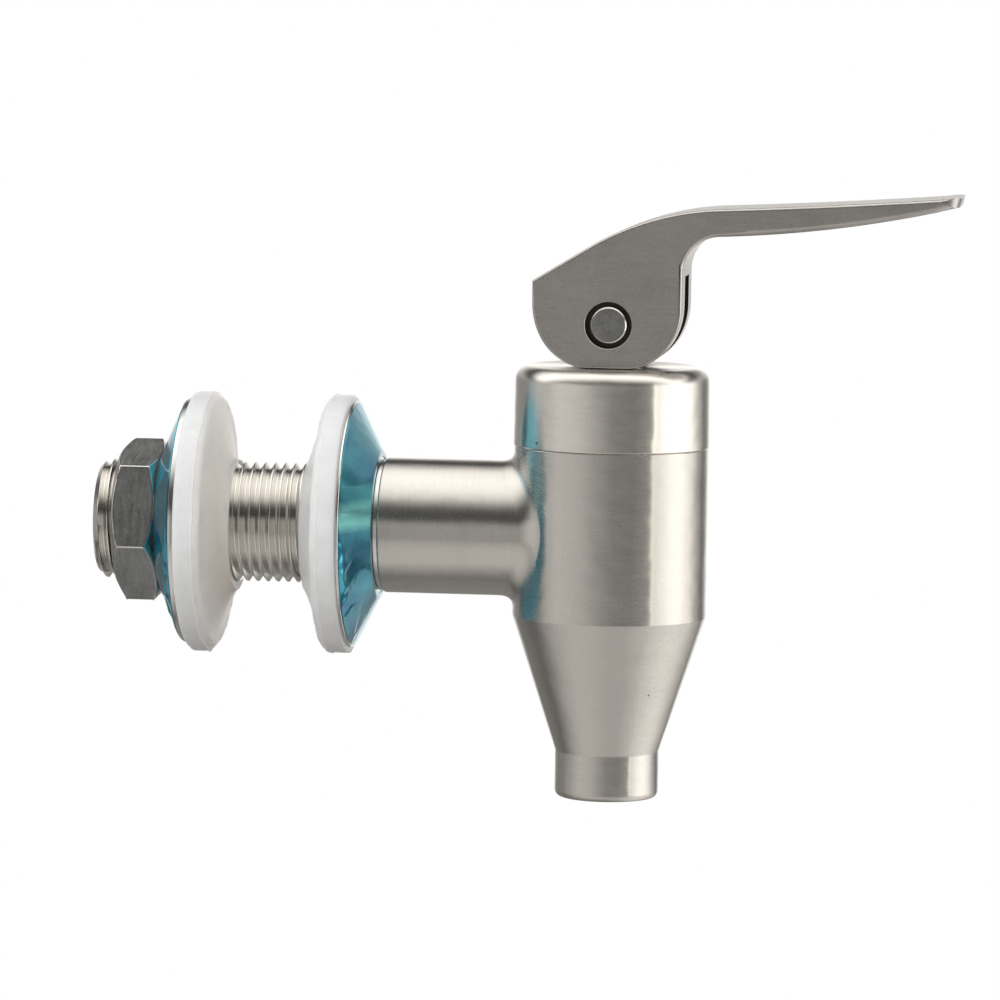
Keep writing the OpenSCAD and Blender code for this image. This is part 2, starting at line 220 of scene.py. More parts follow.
def cut(piece, tool, operation="DIFFERENCE"):
    """Cuts a piece with another one, which is then thrown away."""
    apply(piece, "BOOLEAN", object=tool, operation=operation, solver="EXACT")
    bpy.data.objects.remove(tool, do_unlink=True)


def chain(points, depth_axis=1, depth=0.0):
    """Draws a line of vertices by extruding one vertex from point to point, in millimetres."""
    clear_selection()
    bpy.ops.mesh.primitive_plane_add(size=MM)
    piece = bpy.context.object
    bpy.ops.object.mode_set(mode="EDIT")
    bpy.ops.mesh.select_mode(type="VERT")
    bpy.ops.mesh.merge(type="CENTER")
    place = [0.0, 0.0, 0.0]
    place[depth_axis] = depth * MM
    flat = [axis for axis in range(3) if axis != depth_axis]
    place[flat[0]], place[flat[1]] = points[0][0] * MM, points[0][1] * MM
    bpy.ops.transform.translate(value=place)
    for before, after in zip(points, points[1:]):
        step = [0.0, 0.0, 0.0]
        step[flat[0]] = (after[0] - before[0]) * MM
        step[flat[1]] = (after[1] - before[1]) * MM
        bpy.ops.mesh.extrude_region_move(TRANSFORM_OT_translate={"value": step})
    return piece


def rounded(points, steps=5):
    """Replaces each corner that has a third number by an arc of that radius."""
    result = []
    count = len(points)
    for i, corner in enumerate(points):
        if len(corner) < 3:
            result.append(tuple(corner))
            continue
        here = Vector(corner[:2])
        before = (Vector(points[i - 1][:2]) - here).normalized()
        after = (Vector(points[(i + 1) % count][:2]) - here).normalized()
        half = before.angle(after) / 2
        reach = corner[2] / math.tan(half)
        centre = here + (before + after).normalized() * (corner[2] / math.sin(half))
        first = here + before * reach - centre
        last = here + after * reach - centre
        sweep = first.angle_signed(last)
        for k in range(steps + 1):
            arm = first.copy()
            arm.rotate(Matrix.Rotation(-sweep * k / steps, 2))
            result.append(tuple(centre + arm))
    return result


def turned(name, profile, steps=160, along="Z", at=(0, 0, 0)):
    """Spins a closed outline of (radius, height) about an axis."""
    piece = chain(profile + [profile[0]])
    piece.name = piece.data.name = name
    bpy.ops.mesh.select_all(action="SELECT")
    bpy.ops.mesh.spin(steps=steps, angle=2 * math.pi, center=(0, 0, 0), axis=(0, 0, 1))
    close_edit()
    if along == "X":
        piece.data.transform(Z_TO_X)
    if along == "Y":
        piece.data.transform(Z_TO_Y)
    piece.data.transform(Matrix.Translation([c * MM for c in at]))
    return piece


def ring_grid(name, rings, columns, place):
    """A grid rolled into rings: place(ring, turn) gives each vertex its point in millimetres."""
    clear_selection()
    bpy.ops.mesh.primitive_grid_add(x_subdivisions=rings - 1, y_subdivisions=columns, size=2)
    piece = bpy.context.object
    piece.name = piece.data.name = name
    xs = sorted({round(v.co.x, 5) for v in piece.data.vertices})
    ys = sorted({round(v.co.y, 5) for v in piece.data.vertices})
    last_x, last_y = len(xs) - 1, len(ys) - 1
    for vertex in piece.data.vertices:
        ring = round((vertex.co.x + 1) / 2 * last_x)
        turn = round((vertex.co.y + 1) / 2 * last_y) / last_y
        vertex.co = Vector(place(ring, turn)) * MM
    to_edit(piece)
    close_edit()
    return piece


def mount(piece, body, slot, material, *nodes):
    """Puts a finished piece on its body, in place of the CAD nodes that it stands for."""
    piece.data.materials.clear()
    piece.data.materials.append(material)
    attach(piece, body)
    if nodes:
        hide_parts(*nodes)
    return piece


def soft_noise(point, size):
    """Smooth noise from -1 to 1 that changes over a size in millimetres."""
    return noise.noise(Vector(point) / size)


# Materials


def linear(code):
    """Linear colour of an sRGB hex value."""
    parts = [int(code[i:i + 2], 16) / 255 for i in (1, 3, 5)]
    return tuple(c / 12.92 if c < 0.04045 else ((c + 0.055) / 1.055) ** 2.4 for c in parts) + (1.0,)


def add_node(tree, kind, inputs=None, **settings):
    """Adds a node, sets its properties and fills its sockets with values or other nodes' outputs."""
    made = tree.nodes.new(kind)
    for key, value in settings.items():
        setattr(made, key, value)
    for key, value in (inputs or {}).items():
        if isinstance(value, bpy.types.NodeSocket):
            tree.links.new(value, made.inputs[key])
        else:
            made.inputs[key].default_value = value
    return made


def new_material(name):
    """An empty material and its node tree."""
    material = bpy.data.materials.new(name)
    material.use_nodes = True
    material.node_tree.nodes.clear()
    return material, material.node_tree


def streaks(tree, cell_mm, detail=3.0):
    """Noise drawn out into lines: cell_mm is the size of a line along X, Y and Z."""
    where = add_node(tree, "ShaderNodeTexCoord")
    scaled = add_node(tree, "ShaderNodeMapping",
                      {"Vector": where.outputs["Object"], "Scale": [1 / (c * MM) for c in cell_mm]})
    return add_node(tree, "ShaderNodeTexNoise",
                    {"Vector": scaled.outputs["Vector"], "Scale": 1.0, "Detail": detail, "Roughness": 0.6})


# Sizes on polished steel, in millimetres: grit marks, marks of handling, depth of the brushed grooves, and the
# cells of which some hold a pit, with the pit's reach as a share of its cell
GRIT = (0.3, 0.3, 0.3)
HANDLING_MARKS = (6.0, 6.0, 6.0)
GROOVE_DEPTH = 0.0025
PIT_CELL = 5.0
PIT_REACH = 0.035


def steel(name, colour, roughness, cell_mm, lines=0.3, spread=0.06, tangent=None, anisotropic=0.0,
          waviness=0.0, pits=False):
    """Stainless steel whose surface carries lines of a known size.

    lines is how much the lines change the colour, spread how much they change the gloss, tangent the
    axis round which they run, waviness the depth in millimetres that polishing leaves, and pits adds
    the tiny dark holes that polishing opens.
    """
    material, tree = new_material(name)
    fine = streaks(tree, cell_mm)
    coarse = streaks(tree, [2.6 * size for size in cell_mm], 2.0)
    grain = streaks(tree, GRIT, 2.0)
    broad = streaks(tree, HANDLING_MARKS, 2.0)
    lines_mix = add_node(tree, "ShaderNodeMix", {"Factor": 0.45, "A": fine.outputs["Fac"],
                                                 "B": coarse.outputs["Fac"]}, data_type="FLOAT")
    mix = add_node(tree, "ShaderNodeMix", {"Factor": 0.4, "A": lines_mix.outputs["Result"],
                                           "B": grain.outputs["Fac"]}, data_type="FLOAT")
    both = add_node(tree, "ShaderNodeMix", {"Factor": 0.25, "A": mix.outputs["Result"], "B": broad.outputs["Fac"]},
                    data_type="FLOAT")
    swing = 0.6 * lines
    dark = [c * (1 - swing) for c in linear(colour)[:3]] + [1.0]
    light = [min(c * (1 + swing), 1.0) for c in linear(colour)[:3]] + [1.0]
    tint = add_node(tree, "ShaderNodeMix",
                    {"Factor": both.outputs["Result"], "A": dark, "B": light}, data_type="RGBA")
    shade = tint.outputs["Result"]
    if pits:
        # In every other cell one dark pit, well under half a millimetre across
        where = add_node(tree, "ShaderNodeTexCoord")
        cells = add_node(tree, "ShaderNodeTexVoronoi",
                         {"Vector": where.outputs["Object"], "Scale": 1 / (PIT_CELL * MM)})
        near = add_node(tree, "ShaderNodeMath", {0: cells.outputs["Distance"], 1: PIT_REACH},
                        operation="LESS_THAN")
        chosen = add_node(tree, "ShaderNodeSeparateColor", {"Color": cells.outputs["Color"]})
        rare = add_node(tree, "ShaderNodeMath", {0: chosen.outputs["Red"], 1: 0.5}, operation="GREATER_THAN")
        spot = add_node(tree, "ShaderNodeMath", {0: near.outputs["Value"], 1: rare.outputs["Value"]},
                        operation="MULTIPLY")
        pitted = add_node(tree, "ShaderNodeMix", {"Factor": spot.outputs["Value"], "A": shade, "B": linear("#4a443c")},
                          data_type="RGBA")
        shade = pitted.outputs["Result"]
    gloss = add_node(tree, "ShaderNodeMapRange",
                     {"Value": both.outputs["Result"], "From Min": 0.3, "From Max": 0.7,
                      "To Min": max(roughness - spread, 0.02), "To Max": roughness + spread})
    grooves = add_node(tree, "ShaderNodeBump",
                       {"Strength": 0.3, "Distance": GROOVE_DEPTH * MM, "Height": mix.outputs["Result"]})
    inputs = {"Base Color": shade, "Metallic": 1.0, "Roughness": gloss.outputs["Result"],
              "Normal": grooves.outputs["Normal"]}
    if waviness:
        # Hand polishing leaves the wall slightly uneven, which bends the edges of reflections
        slow = streaks(tree, (4.5, 4.5, 3.5), 1.0)
        waves = add_node(tree, "ShaderNodeBump",
                         {"Strength": 1.0, "Distance": waviness * MM, "Height": slow.outputs["Fac"],
                          "Normal": grooves.outputs["Normal"]})
        inputs["Normal"] = waves.outputs["Normal"]
    if tangent:
        around = add_node(tree, "ShaderNodeTangent", direction_type="RADIAL", axis=tangent)
        inputs["Tangent"] = around.outputs["Tangent"]
        inputs["Anisotropic"] = anisotropic
        inputs["Anisotropic Rotation"] = 0.25
    shader = add_node(tree, "ShaderNodeBsdfPrincipled", inputs)
    add_node(tree, "ShaderNodeOutputMaterial", {"Surface": shader.outputs["BSDF"]})
    return material


def silicone_rubber():
    """Translucent white silicone, moulded: milky, light passes into it, with painted warm shade on the tank's side."""
    material, tree = new_material("translucent silicone")
    where = add_node(tree, "ShaderNodeTexCoord")
    place = add_node(tree, "ShaderNodeSeparateXYZ", {"Vector": where.outputs["Object"]})
    # Painted warm shade: the rear gasket's thick hub is painted a creamier, slightly darker tone
    middle = add_node(tree, "ShaderNodeMath", {0: place.outputs["X"], 1: (HUB_H - CLAMP_GAP) * MM},
                      operation="SUBTRACT")
    away = add_node(tree, "ShaderNodeMath", {0: middle.outputs["Value"]}, operation="ABSOLUTE")
    painted_warm_shade_falloff = add_node(tree, "ShaderNodeMapRange", {"Value": away.outputs["Value"], "From Min": 1.5 * MM,
                                                  "From Max": 4.5 * MM, "To Min": 0.0, "To Max": 1.0})
    tint = add_node(tree, "ShaderNodeMix",
                    {"Factor": painted_warm_shade_falloff.outputs["Result"], "A": linear("#e6dfd6"), "B": linear("#eceded")},
                    data_type="RGBA")
    cloud = streaks(tree, (2.5, 2.5, 2.5), 3.0)
    milky = add_node(tree, "ShaderNodeMapRange", {"Value": cloud.outputs["Fac"], "From Min": 0.3, "From Max": 0.7,
                                                  "To Min": 0.93, "To Max": 1.0})
    mixed = add_node(tree, "ShaderNodeVectorMath", {0: tint.outputs["Result"], "Scale": milky.outputs["Result"]},
                     operation="SCALE")
    grain = streaks(tree, (0.5, 0.5, 0.5), 3.0)
    skin = add_node(tree, "ShaderNodeBump",
                    {"Strength": 0.3, "Distance": 0.02 * MM, "Height": grain.outputs["Fac"]})
    shader = add_node(tree, "ShaderNodeBsdfPrincipled",
                      {"Base Color": mixed.outputs["Vector"], "Roughness": 0.3, "IOR": 1.41,
                       "Subsurface Weight": 0.8, "Subsurface Radius": (1.0, 0.95, 0.9),
                       "Subsurface Scale": 2.0 * MM, "Normal": skin.outputs["Normal"]})
    add_node(tree, "ShaderNodeOutputMaterial", {"Surface": shader.outputs["BSDF"]})
    return material


def protective_film():
    """Blue polyethylene film stuck on bright steel: the metal shines through it, tinted, under a glossy skin."""
    material, tree = new_material("blue polyethylene film")
    cloud = streaks(tree, (9.0, 9.0, 5.0), 2.0)
    depth = add_node(tree, "ShaderNodeMapRange", {"Value": cloud.outputs["Fac"], "From Min": 0.34, "From Max": 0.66,
                                                  "To Min": 0.0, "To Max": 1.0})
    clear = add_node(tree, "ShaderNodeMix",
                     {"Factor": depth.outputs["Result"], "A": linear("#2285ac"), "B": linear("#44b0c0")},
                     data_type="RGBA")
    # Painted reflection: in one band of the front film, on the camera's side, the colour is painted pale and greenish
    # to stand in for a bright reflection
    where = add_node(tree, "ShaderNodeTexCoord")
    place = add_node(tree, "ShaderNodeSeparateXYZ", {"Vector": where.outputs["Object"]})
    above = add_node(tree, "ShaderNodeMath", {0: place.outputs["Z"], 1: 2.3 * MM}, operation="SUBTRACT")
    away = add_node(tree, "ShaderNodeMath", {0: above.outputs["Value"]}, operation="ABSOLUTE")
    level = add_node(tree, "ShaderNodeMapRange", {"Value": away.outputs["Value"], "From Min": 0.9 * MM,
                                                  "From Max": 2.2 * MM, "To Min": 1.0, "To Max": 0.0})
    front = add_node(tree, "ShaderNodeMath", {0: place.outputs["X"], 1: 0.0}, operation="GREATER_THAN")
    near = add_node(tree, "ShaderNodeMath", {0: place.outputs["Y"], 1: 0.0}, operation="LESS_THAN")
    side = add_node(tree, "ShaderNodeMath", {0: front.outputs["Value"], 1: near.outputs["Value"]},
                    operation="MULTIPLY")
    painted_reflection_band = add_node(tree, "ShaderNodeMath", {0: level.outputs["Result"], 1: side.outputs["Value"]},
                     operation="MULTIPLY")
    tint = add_node(tree, "ShaderNodeMix",
                    {"Factor": painted_reflection_band.outputs["Value"], "A": clear.outputs["Result"], "B": linear("#90f0f4")},
                    data_type="RGBA")
    ripple = streaks(tree, (1.6, 1.6, 1.6), 2.0)
    skin = add_node(tree, "ShaderNodeBump",
                    {"Strength": 0.22, "Distance": 0.04 * MM, "Height": ripple.outputs["Fac"]})
    shader = add_node(tree, "ShaderNodeBsdfPrincipled",
                      {"Base Color": tint.outputs["Result"], "Metallic": 0.85, "Roughness": 0.18,
                       "Coat Weight": 0.6, "Coat Roughness": 0.04, "Normal": skin.outputs["Normal"]})
    add_node(tree, "ShaderNodeOutputMaterial", {"Surface": shader.outputs["BSDF"]})
    return material


# Satin stainless, brushed round the barrel: reflections stay sharp sideways and smear up and down.
# The real lines are about 0.05 mm wide and can hardly be told apart, so they are drawn 0.18 mm wide and faint.
brushed_barrel = steel("satin stainless round the barrel", "#cbc7c1", 0.26, (2.2, 2.2, 0.18), 0.42, 0.04, "Z", 0.93,
                       0.09, True)
# The cap is turned finer, so it is a little brighter and mirrors more sharply
brushed_cap = steel("satin stainless round the cap", "#dcd8d2", 0.23, (2.2, 2.2, 0.18), 0.42, 0.04, "Z", 0.93, 0.09,
                    True)
# The same finish round the arm
brushed_arm = steel("satin stainless round the arm", "#cbc7c1", 0.26, (0.18, 2.2, 2.2), 0.42, 0.04, "X", 0.9, 0.05,
                    True)
# Turned thread: bright flanks with fine tool marks along the helix
turned_thread = steel("turned stainless thread", "#d8d5d0", 0.13, (0.12, 4.0, 4.0), 0.3, 0.04)
# Lever: satin, brushed along the handle, a little duller than the barrel
brushed_lever = steel("satin stainless along the lever", "#b8b4b0", 0.3, (1.8, 0.14, 0.14), 0.9, 0.08, pits=True)
# Painted shade for the pin's recess: a dark, dull grey on its bottom and walls, so that the ring round the pin looks
# black
recess_painted_shade = steel("recess painted in shade", "#4c4640", 0.5, (0.4, 0.4, 0.4), 0.4, 0.1)
# Cut end of the pin: dull and mottled
cut_pin = steel("sawn and polished pin end", "#878786", 0.3, (0.9, 0.9, 0.9), 2.6, 0.16)
# Nut: machined and tumbled, darker, with short vertical scratches
machined_nut = steel("machined nut steel", "#a8a9a8", 0.33, (0.22, 1.8, 1.8), 1.9, 0.1)
# Pressed washer: bright cold-rolled sheet
pressed_sheet = steel("bright pressed sheet", "#d6d4d0", 0.14, (3.0, 3.0, 3.0), 0.2, 0.04)
# Turned stem and washers inside the cap
turned_stem = steel("turned stem steel", "#cfccc6", 0.22, (4.0, 4.0, 0.2), 0.3, 0.06)
# Drawn spring wire: bright and smooth
drawn_wire = steel("drawn spring wire", "#d0cdc8", 0.18, (1.5, 1.5, 1.5), 0.15, 0.04)
silicone = silicone_rubber()
film = protective_film()


# Barrel, cone and spout


def valve_body():
    """The turned barrel: soft chamfers at the seam and the spout's lip, hollow inside."""
    seat_z = CONE_TOP - SEAT_BELOW_CONE_TOP
    ledge_z = SKIRT_END - LEDGE_BELOW_SKIRT
    profile = rounded([
        (SKIRT_BORE, SEAM_Z),
        (BARREL_R, SEAM_Z, 0.22),
        (BARREL_R, CONE_TOP, 0.5),
        (SPOUT_R, SPOUT_TOP, 1.2),
        (SPOUT_R, SPOUT_END, 0.9),
        (OUTLET_R, SPOUT_END, 0.3),
        (OUTLET_R, seat_z - SEAT_DEPTH),
        (OUTLET_R + SEAT_DEPTH, seat_z),
        (CHAMBER_R, CONE_TOP + 0.6),
        (CHAMBER_R, ledge_z),
        (SKIRT_BORE, ledge_z),
    ])
    piece = turned("barrel", profile, 192, at=(AXIS_X, 0, 0))
    # The inlet hole runs from outside the wall into the chamber
    clear_selection()
    bpy.ops.mesh.primitive_cylinder_add(vertices=96, radius=INLET_R * MM, depth=14 * MM,
                                        location=((AXIS_X - BARREL_R + 4) * MM, 0, 0),
                                        rotation=(0, math.pi / 2, 0))
    cut(piece, bpy.context.object)
    smooth(piece, 25)
    return mount(piece, "spigot", "brushed_body", brushed_barrel, "valve_body")


def cap():
    """The screwed cap: full round on the top edge and a fine chamfer at the seam."""
    ceiling = CAP_TOP - CAP_ROOF
    top_r = BARREL_R + 0.02
    profile = rounded([
        (STEM_HOLE, ceiling),
        (CAP_BORE, ceiling),
        (CAP_BORE, SKIRT_END),
        (SKIRT_R, SKIRT_END),
        (SKIRT_R, SEAM_Z),
        (CAP_R, SEAM_Z, 0.12),
        (top_r, CAP_TOP, 1.9),
        (STEM_HOLE, CAP_TOP, 0.3),
    ], 8)
    piece = turned("screw_cap", profile, 192, at=(AXIS_X, 0, 0))
    smooth(piece, 25)
    return mount(piece, "spigot", "brushed_body", brushed_cap, "cap")


# Shank and arm


def saddle_x(turn):
    """Where the arm meets the barrel, at a turn of 0 to 1 round the arm."""
    side = ARM_R * math.cos(2 * math.pi * turn)
    return AXIS_X - math.sqrt(BARREL_R ** 2 - side ** 2)


def round_arm(x, radius, turn):
    """A point round the shank's axis."""
    angle = 2 * math.pi * turn
    return (x, radius * math.cos(angle), radius * math.sin(angle))


def weld_point(share, turn):
    """The hollow fillet from the arm to the barrel, share 0 on the arm and 1 on the barrel, with a fine bead."""
    reach = 1.9
    sunk = 0.03
    start = Vector(round_arm(saddle_x(turn) - reach, ARM_R, turn))
    corner = Vector(round_arm(saddle_x(turn), ARM_R, turn))
    side = (ARM_R + 0.8 * reach) * math.cos(2 * math.pi * turn)
    end_x = AXIS_X - math.sqrt((BARREL_R - sunk) ** 2 - side ** 2)
    end = Vector(round_arm(end_x, ARM_R + 0.8 * reach, turn))
    bead = 0.05 * max(1 - abs(share - 0.88) / 0.1, 0)
    return (1 - share) ** 2 * start + 2 * share * (1 - share) * corner + share ** 2 * end - Vector((bead, 0, 0))


def inlet_shank():
    """Thread, neck and arm in one piece: the thread is a true helix that fades at both ends."""
    stop_x = NECK_X - 1.0
    root_r = THREAD_R - THREAD_DEPTH
    tooth = [(0.0, 0.0), (0.05, 0.02), (0.11, 0.12), (0.41, 0.88), (0.46, 0.98), (0.54, 0.98), (0.59, 0.88),
             (0.89, 0.12), (0.95, 0.02)]
    pitches = math.ceil((stop_x - SHANK_END) / THREAD_PITCH) + 2
    thread_rows = [(n + share, depth) for n in range(pitches) for share, depth in tooth]
    ends = [(SHANK_END, INLET_R + 0.25), (SHANK_END, THREAD_R - THREAD_END_CHAMFER)]
    arm = [(stop_x, root_r), (NECK_X, root_r), (NECK_X, NECK_R - 0.15), (NECK_X + 0.15, NECK_R),
           (ARM_START - 0.02, NECK_R), (ARM_START, ARM_R - 0.35),
           (ARM_START + 0.1, ARM_R - 0.12), (ARM_START + 0.35, ARM_R)]
    weld_steps = 22
    closing = [(SPIGOT_END, SPIGOT_R), (SPIGOT_END, INLET_R), (SHANK_END + 0.25, INLET_R), (SHANK_END, INLET_R + 0.25)]
    first_thread = len(ends)
    first_arm = first_thread + len(thread_rows)
    first_weld = first_arm + len(arm)
    first_close = first_weld + weld_steps + 1
    rings = first_close + len(closing)

    def envelope(x):
        """Largest radius that the thread may have near its two ends."""
        return min(THREAD_R, THREAD_R - THREAD_END_CHAMFER + (x - SHANK_END), root_r + 0.6 * max(stop_x - x, 0))

    def place(ring, turn):
        """Ring by ring: the end face, the thread, the arm, the weld, and back through the bore."""
        if ring < first_thread:
            return round_arm(*ends[ring], turn)
        if ring < first_arm:
            row, depth = thread_rows[ring - first_thread]
            x = SHANK_END + (row - 1 + turn) * THREAD_PITCH
            x = min(max(x, SHANK_END), stop_x)
            return round_arm(x, min(THREAD_R - THREAD_DEPTH * depth, envelope(x)), turn)
        if ring < first_weld:
            return round_arm(*arm[ring - first_arm], turn)
        if ring < first_close:
            return weld_point((ring - first_weld) / weld_steps, turn)
        return round_arm(*closing[ring - first_close], turn)

    piece = ring_grid("arm_and_shank", rings, 120, place)
    smooth(piece, 30)
    mount(piece, "spigot", "brushed_shank", brushed_arm, "inlet_shank")
    piece.data.materials.append(turned_thread)
    for face in piece.data.polygons:
        if face.center.x < (ARM_START - 0.1) * MM:
            face.material_index = 1
    return piece


# Lever, pin and stem


def cam_point(angle, rate):
    """A point of the spiral cam that lifts the pin by rate for each radian of turn."""
    a = math.radians(angle)
    reach = CAM_BASE + rate * a
    return (reach * math.sin(a) + rate * math.cos(a), -reach * math.cos(a) + rate * math.sin(a))


def bend(start, heading, radius, turn, steps):
    """Points of a bend that turns left for a positive turn."""
    side = math.copysign(1, turn)
    points = []
    for i in range(steps + 1):
        h = math.radians(heading + turn * i / steps)
        h0 = math.radians(heading)
        points.append((start[0] + side * radius * (math.sin(h) - math.sin(h0)),
                       start[1] + side * radius * (math.cos(h0) - math.cos(h))))
    return points


def lever_outline():
    """The lever from the side, round its pin, with a weight that says how far each edge is rounded."""
    press_cam = [cam_point(90 * i / 30, PRESS_LIFT) for i in range(31)]
    rear_cam = [(-x, z) for x, z in (cam_point(90 * i / 30, TIP_LIFT) for i in range(31))]
    throat = bend((CAM_BASE + PRESS_LIFT * math.pi / 2, THROAT_Z), 90, THROAT_R, UNDER_HEADING - 90, 16)
    under = bend(throat[-1], UNDER_HEADING, UNDER_R, math.degrees(UNDER_LENGTH / UNDER_R), 31)
    tip_x = under[-1][0] + TIP_NOSE
    heel = (-(CAM_BASE + TIP_LIFT * math.pi / 2 + 0.02), HEEL_Z)
    slope = math.radians(BROW_HEADING)
    brow_start = (heel[0] + BROW_LENGTH * math.cos(slope), heel[1] + BROW_LENGTH * math.sin(slope))
    brow = bend(brow_start, BROW_HEADING, BROW_R, TOP_HEADING - BROW_HEADING, 18)
    top = bend(brow[-1], TOP_HEADING, TOP_R, math.degrees((tip_x - brow[-1][0]) / TOP_R), 34)
    outline = [(p, 0.35) for p in press_cam]
    outline += [(p, 0.6) for p in throat[1:]]
    outline += [(p, 1.0) for p in under[1:]]
    outline += [(p, 0.5) for p in reversed(top)]
    outline += [(p, 0.45) for p in list(reversed(brow))[1:]]
    outline += [(heel, 0.35)]
    outline += [(p, 0.35) for p in reversed(rear_cam)]
    return outline, tip_x


def lever():
    """Flat-sided lever with two cheeks: edges broken by hand, tip corners rounded, slot and pin seats cut in."""
    outline, tip_x = lever_outline()
    half = LEVER_W / 2
    piece = chain([p for p, _ in outline] + [outline[0][0]], depth=half)
    piece.name = piece.data.name = "lever_handle"
    fill_and_thicken(LEVER_W)
    bpy.ops.mesh.select_all(action="SELECT")
    bpy.ops.mesh.normals_make_consistent(inside=False)
    bpy.ops.object.mode_set(mode="OBJECT")

    # Every edge across the lever is rounded by its own share of the widest bevel
    weights = {(round(p[0], 3), round(p[1], 3)): w for p, w in outline}
    shape = bmesh.new()
    shape.from_mesh(piece.data)
    layer = shape.edges.layers.float.new("bevel_weight_edge")
    for edge in shape.edges:
        a, b = edge.verts
        if abs(a.co.y - b.co.y) < 1e-6:
            ends = [weights.get((round(v.co.x / MM, 3), round(v.co.z / MM, 3)), 0.35) for v in (a, b)]
            edge[layer] = sum(ends) / 2
    shape.to_mesh(piece.data)
    shape.free()
    apply(piece, "BEVEL", limit_method="WEIGHT", width=0.85 * MM, segments=4, offset_type="OFFSET",
          use_clamp_overlap=False)

    # The tip's corners: cut into strips, which are then drawn back along a quarter circle
    to_edit(piece)
    for step in (0.0, 0.34, 0.6, 0.79, 0.92, 0.98):
        for side in (-1, 1):
            strip_y = side * (half - TIP_CORNER_R + step * TIP_CORNER_R)
            bpy.ops.mesh.select_all(action="SELECT")
            bpy.ops.mesh.bisect(plane_co=(0, strip_y * MM, 0), plane_no=(0, 1, 0))
    close_edit()
    reach = 1.6 * TIP_CORNER_R
    for vertex in piece.data.vertices:
        x, y = vertex.co.x / MM, abs(vertex.co.y) / MM
        past = min(max(y - (half - TIP_CORNER_R), 0), TIP_CORNER_R)
        share = min(max((x - (tip_x - reach)) / reach, 0), 1)
        back = TIP_CORNER_R - math.sqrt(TIP_CORNER_R ** 2 - past ** 2)
        vertex.co.x -= back * share * share * (3 - 2 * share) * MM
    piece.data.transform(Matrix.Translation((PIN_X * MM, 0, PIN_Z * MM)))

    slot = [(-14, -11), (13, -11), (13, 6.4), (-5, 6.4), (-6.8, 4.6), (-14, 4.6)]
    tool = chain(slot + [slot[0]], depth=SLOT_W / 2)
    fill_and_thicken(SLOT_W)
    close_edit()
    tool.data.transform(Matrix.Translation((PIN_X * MM, 0, PIN_Z * MM)))
    cut(piece, tool)
    # One tool, thick at both ends, cuts the pin's hole and the recess in each cheek
    seat = [(0, half + 2), (RECESS_R + 0.07, half + 2), (RECESS_R + 0.07, half + 0.02),
            (RECESS_R, half - 0.05), (RECESS_R, half - RECESS_DEPTH), (PIN_R, half - RECESS_DEPTH)]
    cut(piece, turned("pin_seat", seat + [(r, -y) for r, y in reversed(seat)], 96, "Y", (PIN_X, 0, PIN_Z)))
    smooth(piece, 28)
    mount(piece, "handle", "satin_lever", brushed_lever, "lever")
    # Second material: painted shade on the faces inside the pin's recess and hole
    piece.data.materials.append(recess_painted_shade)
    for face in piece.data.polygons:
        out = math.hypot(face.center.x / MM - PIN_X, face.center.z / MM - PIN_Z)
        if out < RECESS_R + 0.03 and abs(face.center.y) < (half - 0.25) * MM:
            face.material_index = 1
    return piece


def pivot_pin():
    """The pin: chamfered ends, very slightly domed."""
    profile = [(0, -PIN_HALF), (PIN_R - 0.17, -PIN_HALF + 0.04), (PIN_R, -PIN_HALF + 0.16),
               (PIN_R, PIN_HALF - 0.16), (PIN_R - 0.17, PIN_HALF - 0.04), (0, PIN_HALF)]
    piece = turned("lever_pin", profile, 96, "Y", (PIN_X, 0, PIN_Z))
    smooth(piece, 25)
    mount(piece, "handle", "pin_steel", cut_pin, "pivot_pin")
    piece.data.materials.append(pressed_sheet)
    for face in piece.data.polygons:
        out = math.hypot(face.center.x / MM - PIN_X, face.center.z / MM - PIN_Z)
        if out > PIN_R - 0.16:
            face.material_index = 1
    return piece


# Clamp pieces on the shank


def mirrored(x, rear):
    """A place along the shank, on the front side or mirrored to the tank's inside."""
    return -CLAMP_GAP - x if rear else x


